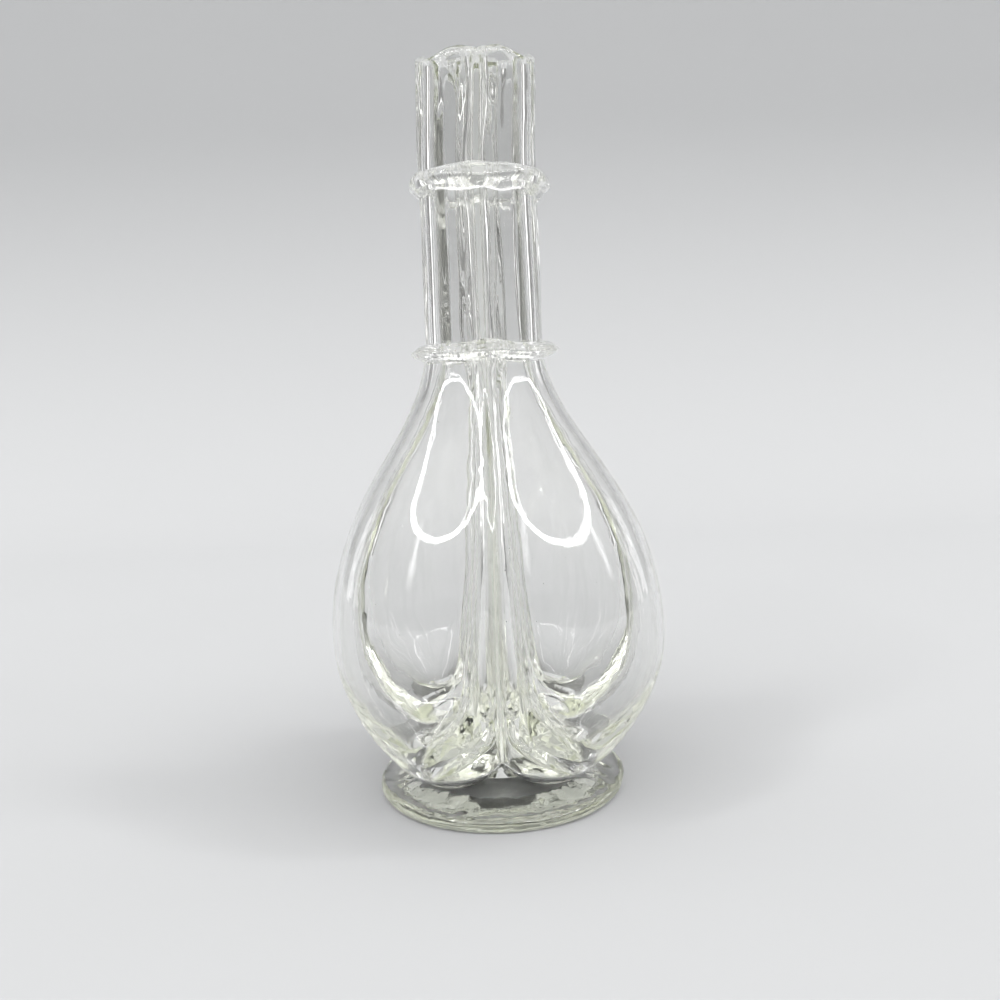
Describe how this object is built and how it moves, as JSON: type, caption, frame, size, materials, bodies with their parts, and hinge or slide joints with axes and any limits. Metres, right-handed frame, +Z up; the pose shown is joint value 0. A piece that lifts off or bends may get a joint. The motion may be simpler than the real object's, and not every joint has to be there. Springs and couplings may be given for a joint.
{
  "type": "four-chamber decanter",
  "caption": "Clear blown-glass decanter of fused onion-shaped chambers with separate slim necks and pouring lips, bound by two glass rings, on a round glass foot.",
  "frame": {"origin": "middle of the foot's underside, on the surface the decanter stands on", "axes": "+Z up along the necks, -Y towards the front as pictured (the groove between two chambers), +X to the right of it"},
  "size_m": [0.122, 0.122, 0.2725],
  "materials": {
    "chamber_glass": "clear blown soda glass, fire polished, very faint grey-green tint",
    "ring_glass": "clear glass laid on hot and crimped, wavy surface",
    "foot_glass": "thick clear applied glass with a faint olive-green tint"
  },
  "bodies": {
    "root": {"foot": "foot_glass", "back_right_chamber": "chamber_glass", "back_left_chamber": "chamber_glass", "front_left_chamber": "chamber_glass", "front_right_chamber": "chamber_glass", "lower_neck_ring": "ring_glass", "upper_neck_ring": "ring_glass"}
  },
  "joints": []
}
